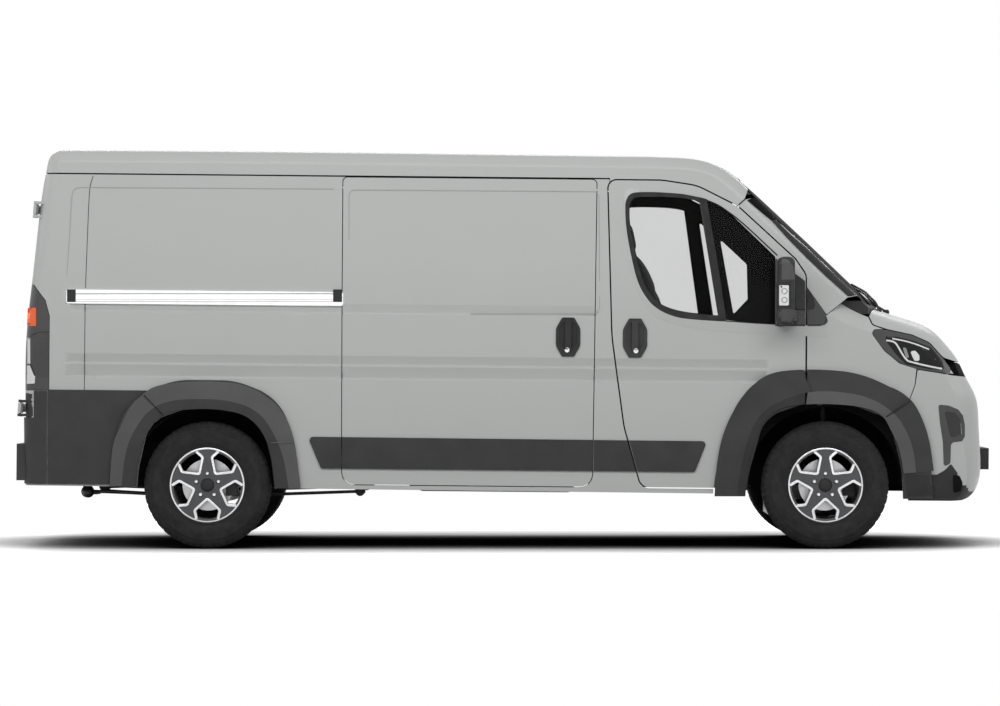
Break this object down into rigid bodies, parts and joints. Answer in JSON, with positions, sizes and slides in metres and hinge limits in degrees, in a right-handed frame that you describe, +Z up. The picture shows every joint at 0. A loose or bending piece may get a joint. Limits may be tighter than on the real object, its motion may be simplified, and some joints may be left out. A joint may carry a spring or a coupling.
{
  "type": "panel van",
  "caption": "Panel van with steered front wheels, hinged cab doors, twin rear doors, opening bonnet, a hollow load space behind a bulkhead and a sliding side door.",
  "frame": {"origin": "on the ground under the middle of the vehicle", "axes": "+X forward, +Y to the vehicle's left, +Z up"},
  "size_m": [5.4998, 2.55, 2.2535],
  "materials": {
    "body_paint": "light grey paint, gloss clear coat",
    "black_plastic": "grained black plastic",
    "gloss_black": "smooth black plastic",
    "glass": "lightly tinted safety glass",
    "lamp_dark": "clear cover over a dark lamp housing",
    "lamp_red": "red and clear lamp cover",
    "tyre": "black rubber",
    "rim_alloy": "dark grey alloy with bright machined edges",
    "brake_steel": "turned steel",
    "chassis_black": "black underbody paint",
    "underbody_grey": "primer grey",
    "steel_dark": "oiled steel",
    "alloy_block": "cast",
    "seat_fabric": "dark woven cloth",
    "tank_plastic": "moulded plastic",
    "exhaust_steel": "aluminised steel"
  },
  "bodies": {
    "body": {"roof": "body_paint", "side_right": "body_paint", "side_left": "body_paint", "sliding_door": "body_paint", "wings": "body_paint", "front_bumper": "body_paint", "bumper_trim": "black_plastic", "grille": "gloss_black", "headlamps": "lamp_dark", "tail_lamps": "lamp_red", "rear_bumper": "black_plastic", "windscreen": "glass", "cowl": "black_plastic", "arch_flares": "black_plastic", "side_cladding": "black_plastic", "slide_rail": "body_paint", "sliding_door_handle": "body_paint", "floor": "underbody_grey", "wheel_housings": "chassis_black", "bulkhead": "underbody_grey", "seats": "seat_fabric", "dashboard": "black_plastic", "steering_wheel": "black_plastic", "subframe": "chassis_black", "rear_axle": "steel_dark", "leaf_springs": "steel_dark", "dampers": "steel_dark", "engine_block": "alloy_block", "fuel_tank": "tank_plastic", "exhaust": "exhaust_steel"},
    "bonnet": {"bonnet": "body_paint"},
    "front_door_right": {"front_door_right": "body_paint", "door_glass_right": "glass", "door_trim_right": "black_plastic"},
    "rear_door_right": {"rear_door_right": "body_paint"},
    "knuckle_right": {"knuckle_right": "steel_dark"},
    "wheel_front_right": {"tyre_front_right": "tyre", "rim_front_right": "rim_alloy", "brake_disc_front_right": "brake_steel"},
    "wheel_rear_right": {"tyre_rear_right": "tyre", "rim_rear_right": "rim_alloy", "brake_disc_rear_right": "brake_steel"},
    "front_door_left": {"front_door_left": "body_paint", "door_glass_left": "glass", "door_trim_left": "black_plastic"},
    "rear_door_left": {"rear_door_left": "body_paint"},
    "knuckle_left": {"knuckle_left": "steel_dark"},
    "wheel_front_left": {"tyre_front_left": "tyre", "rim_front_left": "rim_alloy", "brake_disc_front_left": "brake_steel"},
    "wheel_rear_left": {"tyre_rear_left": "tyre", "rim_rear_left": "rim_alloy", "brake_disc_rear_left": "brake_steel"}
  },
  "joints": [
    {"name": "steer_right", "type": "hinge", "parent": "body", "child": "knuckle_right", "pos_m": [1.767, -0.802, 0.356], "axis": [0, 0.1772, 0.9842], "range_deg": [-33, 33]},
    {"name": "wheel_front_right_spin", "type": "hinge", "parent": "knuckle_right", "child": "wheel_front_right", "pos_m": [1.767, -0.905, 0.356], "axis": [0, 1, 0], "continuous": true},
    {"name": "wheel_rear_right_spin", "type": "hinge", "parent": "body", "child": "wheel_rear_right", "pos_m": [-1.683, -0.895, 0.356], "axis": [0, 1, 0], "continuous": true},
    {"name": "front_door_right_hinge", "type": "hinge", "parent": "body", "child": "front_door_right", "pos_m": [1.65756, -1.034, 0.88413], "axis": [0.0096, 0, 1], "range_deg": [0, 70]},
    {"name": "rear_door_right_hinge", "type": "hinge", "parent": "body", "child": "rear_door_right", "pos_m": [-2.72358, -0.985, 0.78618], "axis": [0.0706, 0.0664, 0.9953], "range_deg": [0, 180]},
    {"name": "steer_left", "type": "hinge", "parent": "body", "child": "knuckle_left", "pos_m": [1.767, 0.802, 0.356], "axis": [0, -0.1772, 0.9842], "range_deg": [-33, 33]},
    {"name": "wheel_front_left_spin", "type": "hinge", "parent": "knuckle_left", "child": "wheel_front_left", "pos_m": [1.767, 0.905, 0.356], "axis": [0, 1, 0], "continuous": true},
    {"name": "wheel_rear_left_spin", "type": "hinge", "parent": "body", "child": "wheel_rear_left", "pos_m": [-1.683, 0.895, 0.356], "axis": [0, 1, 0], "continuous": true},
    {"name": "front_door_left_hinge", "type": "hinge", "parent": "body", "child": "front_door_left", "pos_m": [1.65756, 1.034, 0.88413], "axis": [-0.0096, 0, -1], "range_deg": [0, 70]},
    {"name": "rear_door_left_hinge", "type": "hinge", "parent": "body", "child": "rear_door_left", "pos_m": [-2.72358, 0.985, 0.78618], "axis": [-0.0706, 0.0664, -0.9953], "range_deg": [0, 180]},
    {"name": "bonnet_hinge", "type": "hinge", "parent": "body", "child": "bonnet", "pos_m": [1.98798, 0, 1.34298], "axis": [0, -1, 0], "range_deg": [0, 40]}
  ],
  "couplings": [
    {"joint": "steer_left", "follows": "steer_right", "ratio": 1}
  ]
}
